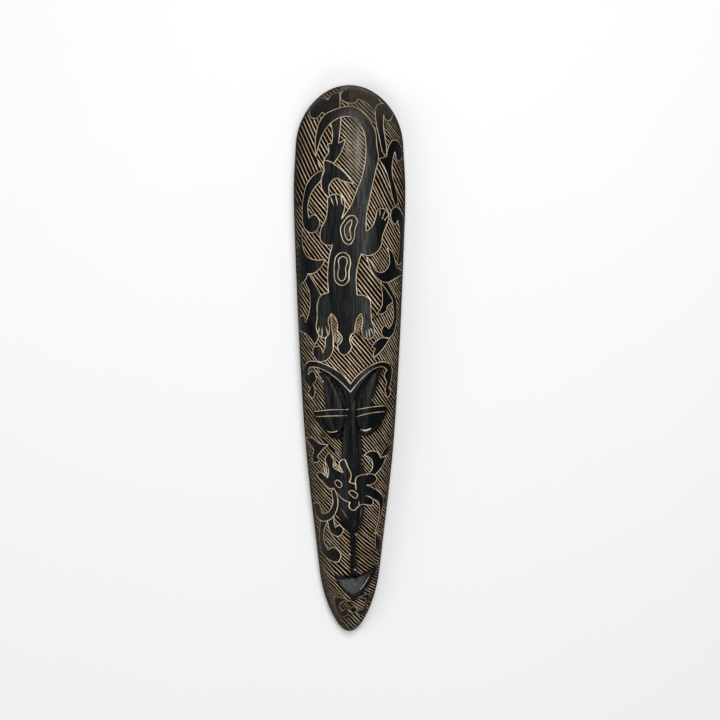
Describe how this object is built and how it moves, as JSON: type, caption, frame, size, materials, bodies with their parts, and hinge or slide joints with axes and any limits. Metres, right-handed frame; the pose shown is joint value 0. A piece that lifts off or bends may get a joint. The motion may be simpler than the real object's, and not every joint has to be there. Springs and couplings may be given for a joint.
{
  "type": "african mask",
  "caption": "Long narrow wooden face mask with a domed front, a hollow back, heavy-lidded eyes, a wedge nose and a slanting mouth, outlined lizards and scrolls gouged into a dark surface.",
  "frame": {"origin": "middle of the back's outline, on the plane that the flat back rim lies on", "axes": "+Z out of the face, +Y to the top of the head, +X to the right as seen from the front"},
  "size_m": [0.1534, 0.75, 0.058],
  "materials": {
    "carved_wood": "satin dark stain, bare wood in the cuts"
  },
  "bodies": {
    "root": {"carved_mask": "carved_wood"}
  },
  "joints": []
}
